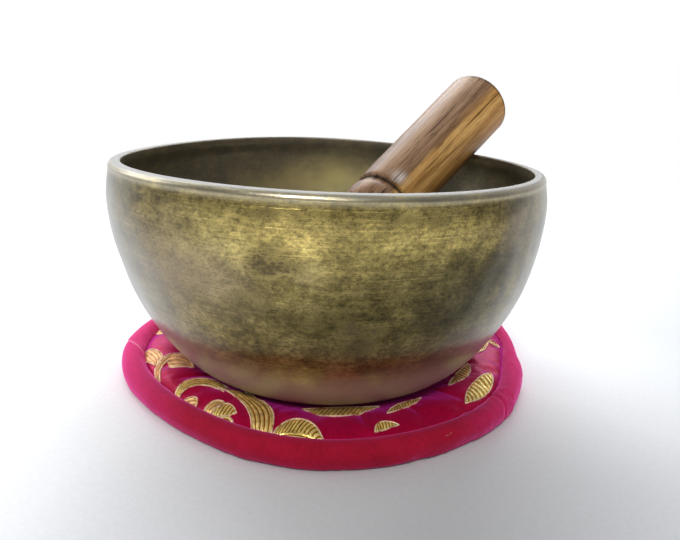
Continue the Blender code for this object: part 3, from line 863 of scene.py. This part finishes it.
def drape(points, rise, tree):
    """Lays points on the brocade, raised by their own rise. Points past its edge sink under the binding."""
    flat = points.reshape(-1, 3).copy()
    lift = rise.reshape(-1)
    for i, (x, y, _) in enumerate(flat):
        hit = tree.ray_cast(Vector((x, y, 0.05)), Vector((0, 0, -1)))[0]
        flat[i, 2] = (hit.z if hit else BROCADE_HEIGHT - 3 * MM) + lift[i]
    return flat.reshape(points.shape)


def motif_patch(motif, turn, tree):
    """A padded patch between a motif's two sides, with thread ridges, as a grid of draped points."""
    first, second = motif["sides"]
    across = np.linspace(0, 1, 41 if motif["along"] or motif["veined"] else 15)
    rows = np.linspace(0, len(first) - 1, len(first) if motif["along"] else motif["ribs"] * 8)
    steps = np.arange(len(first))
    sides = [np.stack([np.interp(rows, steps, side[:, k]) for k in (0, 1)], -1) for side in (first, second)]
    flat = sides[0][:, None] + (sides[1] - sides[0])[:, None] * across[None, :, None]
    u = np.linspace(0, 1, len(rows))[:, None]
    v = across[None, :]
    ribs = np.abs(np.sin(np.pi * motif["ribs"] * (v if motif["along"] else u + motif["slant"] * (v - 0.5))))
    veins = np.abs(np.sin(np.pi * 3 * (v - LEAF_VEINS) / (1 - LEAF_VEINS))) + 0 * u
    ridge = ribs + 0 * v if motif["along"] or not motif["veined"] else np.where(v > LEAF_VEINS, veins, ribs)
    dome = (1 - np.abs(2 * v - 1) ** 4) * np.minimum(1, 12 * np.minimum(u, 1 - u))
    rise = (0.10 + 0.36 * ridge) * MM * dome - 0.07 * MM
    return drape(place(flat, turn), rise, tree), ridge + 0 * u * v, sides


def tube(path, radius, sides=6):
    """Grid of points round a path, closed in section."""
    ahead = np.gradient(path, axis=0)
    ahead /= np.linalg.norm(ahead, axis=1)[:, None]
    side = np.cross(ahead, [0, 0, 1.0])
    side /= np.linalg.norm(side, axis=1)[:, None]
    top = np.cross(side, ahead)
    angles = turns(sides)[None, :, None]
    return path[:, None] + (np.cos(angles) * side[:, None] + np.sin(angles) * top[:, None]) * radius


def joined(name, grids, tones, closed, material, ridges=None):
    """One mesh of many grids. It keeps each grid's tone and its points' height on the ridge."""
    verts, faces, values = [], [], []
    for grid, tone in zip(grids, tones):
        rows, columns = grid.shape[:2]
        index = np.arange(rows * columns).reshape(rows, columns) + len(verts)
        right = np.roll(index, -1, 1)
        quads = np.stack([index[:-1], right[:-1], right[1:], index[1:]], -1)
        if not closed:
            quads = quads[:, :-1]
        faces += quads.reshape(-1, 4).tolist()
        if closed:
            faces += [index[0][::-1].tolist(), index[-1].tolist()]
        verts += grid.reshape(-1, 3).tolist()
        values += [tone] * (rows * columns)
    mesh = bpy.data.meshes.new(name)
    mesh.from_pydata(verts, [], faces)
    mesh.shade_smooth()
    mesh.materials.append(material)
    store(mesh, "tone", values)
    if ridges:
        store(mesh, "ridge", np.concatenate([ridge.ravel() for ridge in ridges]))
    return mesh


def make_motifs(brocade):
    tree = BVHTree.FromObject(brocade, bpy.context.evaluated_depsgraph_get())
    patches, ridges, patch_tones, threads, thread_tones = [], [], [], [], []
    laid = [(motif, turn) for turn in (0, math.pi) for motif in MOTIFS] + [(motif, 0) for motif in rosette()]
    for motif, turn in laid:
        patch, ridge, sides = motif_patch(motif, turn, tree)
        patches.append(patch)
        ridges.append(ridge)
        patch_tones.append(motif["tone"])
        for side in sides:
            flat = place(side, turn)
            path = drape(flat, np.full(len(flat), THREAD_RISE), tree)
            threads.append(tube(path, THREAD_RADIUS))
            thread_tones.append(motif["tone"])
    gold = joined("brocade_gold_thread", patches, patch_tones, False, gold_material(), ridges)
    add_object("brocade_gold_thread", gold, "cushion")
    cord = joined("brocade_outline_thread", threads, thread_tones, True, outline_material())
    add_object("brocade_outline_thread", cord, "cushion")


# Loose ends of thread by the right join: where each starts (degrees, share of the way out), and its curl
LOOSE_THREADS = ((326, 0.87, 0.6), (319, 0.90, 1.1), (309, 0.985, -0.6), (297, 1.0, 0.5))


def make_loose_threads():
    paths = []
    t = np.linspace(0, 1, 24)
    for i, (turn, share, curl) in enumerate(LOOSE_THREADS):
        angle = math.radians(turn) + 0.018 * t + 0.007 * np.sin(5 * t + i)
        radius = CUSHION_RADIUS * share - 0.8 * MM + curl * 3 * MM * t * (1 - t)
        over = np.clip((radius - BROCADE_EDGE) / BINDING, 0, 1)
        arch = np.sqrt(np.clip(over * (2 - 2 * over), 0, 1))
        height = BROCADE_HEIGHT + (0.5 + 2.6 * arch + 0.3 * t) * MM
        paths.append(tube(on_cushion(radius, angle, height), 0.07 * MM, 5))
    mesh = joined("loose_threads", paths, [0.5] * len(paths), True, outline_material())
    add_object("loose_threads", mesh, "cushion")


def make_cord():
    """The soft cord inside the binding, twisted from three strands."""
    around, angle = turns(18), turns(480)[:, None]
    thick = BINDING / 2 - 1.6 * MM - narrowing(angle) / 2
    section = thick - 0.35 * MM * np.abs(np.sin(1.5 * (around + angle * 40)))
    radius = BINDING_MIDDLE + 0.5 * MM + narrowing(angle) / 2 + section * np.cos(around)
    height = BINDING / 2 - 0.15 * MM + section * np.sin(around)
    points = on_cushion(radius, angle, height)
    mesh = grid_mesh("binding_filler_cord", points, wadding_material(), wrap_rows=True)
    add_object("binding_filler_cord", mesh, "cushion", ("binding_cord",))


# ---- cloth materials

@functools.cache
def cotton_material():
    mat, tree, bsdf = new_material("fuchsia_cotton_weave")
    along, around, hem = attributes(tree, "along", "around", "hem")
    warp, weft = (maths(tree, "SINE", times(tree, way, math.tau / WEAVE_PITCH)) for way in (along, around))
    weave = plus(tree, times(tree, times(tree, warp, weft), 0.5), 0.5)
    cloudy = noise(tree, 70, 3, 0.5)
    slubs = noise(tree, 900, 3, 0.6)
    colour = ramp(tree, cloudy, [(0.3, (0.33, 0.003, 0.018)), (0.7, (0.46, 0.006, 0.036))])
    # Painted light: the binding turns paler and pinker towards both sides.
    side = maths(tree, "ABSOLUTE", node(tree, "ShaderNodeSeparateXYZ", {0: object_coords(tree)}).outputs[0])
    painted_side_light = rescale(tree, side, PAINTED_SIDE_LIGHT_FROM, CUSHION_RADIUS)
    colour = mix(tree, painted_side_light, colour, (0.80, 0.036, 0.20))
    colour = multiply(tree, 0.4, colour, slubs, [(0.3, 0.5), (0.6, 1.05)])
    colour = multiply(tree, 0.25, colour, weave, [(0.0, 0.6), (1.0, 1.1)])
    fill_in(tree, bsdf, {
        "Base Color": paint(tree, colour, (hem, 0.8, (1.0, 0.45, 0.62))), "Roughness": 0.85,
        "Specular IOR Level": 0.15, "Sheen Weight": 0.75, "Sheen Roughness": 0.42,
        "Sheen Tint": (1.0, 0.17, 0.60),
        "Normal": bumps(tree, (weave, 0.35, 0.06 * MM), (slubs, 0.35, 0.08 * MM))})
    return mat


def satin_material():
    mat, tree, bsdf = new_material("magenta_satin")
    waves_at = {"Vector": object_coords(tree, rotation=(0, 0, 0.7)), "Scale": 480, "Distortion": 0.6}
    twill = node(tree, "ShaderNodeTexWave", {**waves_at, "Detail": 1}).outputs["Fac"]
    cloudy = noise(tree, 60, 4, 0.55)
    floats = noise(tree, 1400, 2, 0.5, (1, 0.15, 1), (0, 0, 0.4))
    crimson = ramp(tree, cloudy, [(0.3, (0.38, 0.002, 0.026)), (0.7, (0.50, 0.005, 0.060))])
    # Painted sheen: the colour turns violet where the satin is slanted to the view.
    colour = mix(tree, ramp(tree, facing(tree), [(0.58, 0.0), (0.84, 1.0)]), crimson, (0.62, 0.020, 0.33))
    fill_in(tree, bsdf, {
        "Base Color": multiply(tree, 0.3, colour, floats, [(0.35, 0.5), (0.6, 1.1)]), "Metallic": 0.15,
        "Roughness": 0.36, "Specular IOR Level": 0.12, "Specular Tint": (1.0, 0.12, 0.85),
        "Sheen Weight": 1.0, "Sheen Roughness": 0.32, "Sheen Tint": (0.95, 0.10, 0.85),
        "Normal": bumps(tree, (twill, 0.25, 0.05 * MM), (floats, 0.3, 0.05 * MM))})
    return mat


def gold_material():
    mat, tree, bsdf = new_material("gold_thread")
    tone, ridge = attributes(tree, "tone", "ridge")
    strands = noise(tree, 1300, 3, 0.6)
    patchy = noise(tree, 330, 4, 0.65)
    # Painted shade and highlight: the thread is darker in the valleys and brighter on the ridges.
    height = weighted(tree, (ridge, 0.65), (strands, 0.5))
    gilt_painted_light = [(0.38, (0.20, 0.055, 0.006)), (0.60, (0.96, 0.54, 0.07)), (0.80, (1.0, 0.86, 0.32))]
    peach_painted_light = [(0.25, (0.55, 0.24, 0.10)), (0.9, (0.88, 0.52, 0.24))]
    colour = mix(tree, tone, ramp(tree, height, gilt_painted_light), ramp(tree, height, peach_painted_light))
    fill_in(tree, bsdf, {
        "Base Color": multiply(tree, 0.6, colour, patchy, [(0.36, 0.45), (0.6, 1.25)]), "Metallic": 0.45,
        "Specular IOR Level": 0.3, "Roughness": plus(tree, times(tree, tone, 0.2), 0.26),
        "Normal": bumps(tree, (strands, 0.9, 0.16 * MM))})
    return mat


@functools.cache
def outline_material():
    mat, tree, bsdf = new_material("pale_outline_thread")
    twist = noise(tree, 1900, 1, 0.5)
    worn = noise(tree, 300, 3, 0.6)
    colour = ramp(tree, worn, [(0.36, (0.55, 0.20, 0.08)), (0.52, (1.0, 0.80, 0.56))])
    fill_in(tree, bsdf, {
        "Base Color": multiply(tree, 0.5, colour, twist, [(0.35, 0.5), (0.6, 1.1)]), "Metallic": 0.25,
        "Specular IOR Level": 0.3, "Roughness": 0.28, "Normal": bumps(tree, (twist, 0.6, 0.10 * MM))})
    return mat


def lining_material():
    mat, tree, bsdf = new_material("plum_lining")
    weave = noise(tree, 1500, 2, 0.5, (1, 0.3, 1))
    colour = ramp(tree, noise(tree, 50, 3, 0.5), [(0.3, (0.20, 0.006, 0.045)), (0.7, (0.28, 0.01, 0.07))])
    fill_in(tree, bsdf, {
        "Base Color": multiply(tree, 0.4, colour, weave, [(0.35, 0.6), (0.6, 1.05)]), "Roughness": 0.85,
        "Sheen Weight": 0.3, "Normal": bumps(tree, (weave, 0.4, 0.08 * MM))})
    return mat


@functools.cache
def wadding_material():
    mat, tree, bsdf = new_material("cotton_wadding")
    fibres = noise(tree, 700, 6, 0.7, distortion=0.8)
    fill_in(tree, bsdf, {
        "Base Color": ramp(tree, fibres, [(0.3, (0.55, 0.50, 0.42)), (0.7, (0.85, 0.82, 0.75))]),
        "Roughness": 0.95, "Sheen Weight": 0.3, "Normal": bumps(tree, (fibres, 0.8, 0.3 * MM))})
    return mat


# ---------------------------------------------------------------- light, floor and camera

FLOOR_FADE = (0.22, 0.75)           # metres from the bowl: the floor turns from lit paper to plain white
FLOOR_SHADE = (0.08, 0.30, 0.48)    # it darkens towards the right and front: from, to (metres), how much
FLOOR_PLACES = (                    # shade in front of the cushion and spill beside it: place, reach, level
    ((0.035, -0.135, 0), 0.12, 0.62), ((0.125, -0.02, 0), 0.08, 1.14), ((-0.16, -0.07, 0), 0.12, 1.16),
)


def make_floor():
    outline = np.array([(radius, 0) for radius in (0.001, 0.2, 0.6, 1.2, 2.0, 4.0, 12.0)])
    mat, tree, bsdf = new_material("pale_floor")
    coords = object_coords(tree)
    x, y, _ = node(tree, "ShaderNodeSeparateXYZ", {0: coords}).outputs
    paper = ramp(tree, noise(tree, 600, 3, 0.5), [(0.3, (0.80, 0.81, 0.835)), (0.7, (0.84, 0.85, 0.875))])
    low, high, most = FLOOR_SHADE
    shades = [rescale(tree, weighted(tree, (x, 0.8), (y, -0.6)), low, high, 1.0, 1.0 - most)]
    for place, reach, level in FLOOR_PLACES:
        distance = node(tree, "ShaderNodeVectorMath", {0: coords, 1: place}, operation="DISTANCE")
        shades.append(rescale(tree, distance.outputs["Value"], 0.0, reach, level, 1.0))
    for shade in shades:
        paper = mix(tree, 1.0, paper, shade, "MULTIPLY")
    fill_in(tree, bsdf, {"Base Color": paper, "Roughness": 0.9})
    distance = node(tree, "ShaderNodeVectorMath", {0: coords}, operation="LENGTH").outputs["Value"]
    white = rescale(tree, distance, *FLOOR_FADE)
    glow = node(tree, "ShaderNodeEmission", {"Color": (1.0, 1.0, 1.0), "Strength": 1.0}).outputs[0]
    blend = node(tree, "ShaderNodeMixShader", {0: white, 1: bsdf.outputs[0], 2: glow}).outputs[0]
    fill_in(tree, tree.nodes["Material Output"], {"Surface": blend})
    add_object("floor", grid_mesh("floor", lathe(outline, 96), mat))


def make_world():
    """The camera sees plain white. The light is bright behind the bowl and dim above the viewer."""
    world = bpy.data.worlds.new("studio")
    world.use_nodes = True
    tree = world.node_tree
    direction = node(tree, "ShaderNodeTexCoord").outputs["Generated"]
    x, y, up = node(tree, "ShaderNodeSeparateXYZ", {0: direction}).outputs
    back = minus(tree, rescale(tree, y, -1.0, 1.0), times(tree, x, 0.04))
    horizon = ramp(tree, back, [(0.0, 0.90), (0.35, 0.45), (0.70, 0.46), (0.90, 1.0)])
    middle = ramp(tree, back, [(0.0, 0.10), (0.50, 0.22), (0.80, 0.60), (1.0, 0.95)])
    level = mix(tree, ramp(tree, up, [(0.08, 0.0), (0.26, 1.0)]), horizon, middle)
    level = mix(tree, ramp(tree, up, [(0.6, 0.0), (0.95, 1.0)]), level, (0.40, 0.405, 0.42))
    seen = node(tree, "ShaderNodeLightPath").outputs["Is Camera Ray"]
    fill_in(tree, tree.nodes["Background"], {"Color": mix(tree, seen, level, (1.0, 1.0, 1.0))})
    bpy.context.scene.world = world


def add_area(name, location, target, size, power, colour=(1, 1, 1)):
    light = bpy.data.lights.new(name, "AREA")
    light.shape = "RECTANGLE"
    light.size, light.size_y = size
    light.energy = power
    light.color = colour
    obj = add_object(name, light, location=location)
    obj.rotation_euler = (Vector(target) - Vector(location)).to_track_quat("-Z", "Y").to_euler()


CAMERA_DISTANCE, CAMERA_ELEVATION = 2.8475 * RIM_RADIUS, 0.11918      # from the middle of the rim, radians
CAMERA_YAW, CAMERA_PITCH, CAMERA_ROLL = -0.02251, -0.18981, -0.04818
FRAME_WIDTH, FOCAL_LENGTH, SENSOR_WIDTH = 680, 580, 36               # pixels, pixels, millimetres


def make_camera():
    """A wide lens close to the bowl, a little above the rim, as in the reference view."""
    forward = Vector((0, math.cos(CAMERA_ELEVATION), -math.sin(CAMERA_ELEVATION)))
    position = Vector((0, 0, RIM_HEIGHT)) - CAMERA_DISTANCE * forward
    right = Vector((1, 0, 0))
    up = right.cross(forward)
    turn = Matrix.Rotation(CAMERA_YAW, 3, up)
    forward, right = turn @ forward, turn @ right
    turn = Matrix.Rotation(CAMERA_PITCH, 3, right)
    forward, up = turn @ forward, turn @ up
    turn = Matrix.Rotation(CAMERA_ROLL, 3, forward)
    right, up = turn @ right, turn @ up
    camera = bpy.data.cameras.new("camera")
    camera.sensor_width = SENSOR_WIDTH
    camera.lens = SENSOR_WIDTH * FOCAL_LENGTH / FRAME_WIDTH
    camera.clip_start = 0.01
    obj = add_object("camera", camera)
    rotation = Matrix((right, up, -forward)).transposed().to_4x4()
    obj.matrix_world = Matrix.Translation(position) @ rotation
    bpy.context.scene.camera = obj


make_bowl()
make_mallet()
make_binding("binding_front_roll", SEAM_LEFT, SEAM_RIGHT, 0, "binding_front")
make_binding("binding_rear_roll", SEAM_RIGHT, SEAM_LEFT, 1, "binding_rear")
brocade = make_brocade()
make_motifs(brocade)
make_loose_threads()
make_filling()
make_lining()
make_cord()
make_floor()
make_world()
add_area("window", (-0.25, 1.4, 1.25), (0, 0, 0.03), (2.4, 1.1), 47, (0.94, 0.97, 1.0))
add_area("side_window", (-1.3, 0.35, 0.65), (0, 0, 0.03), (0.9, 0.7), 4.5, (0.95, 0.97, 1.0))
add_area("overhead", (-0.06, -0.68, 0.70), (0, -0.09, 0.09), (0.30, 0.14), 3.6)
make_camera()
bpy.context.scene.view_settings.view_transform = "Standard"
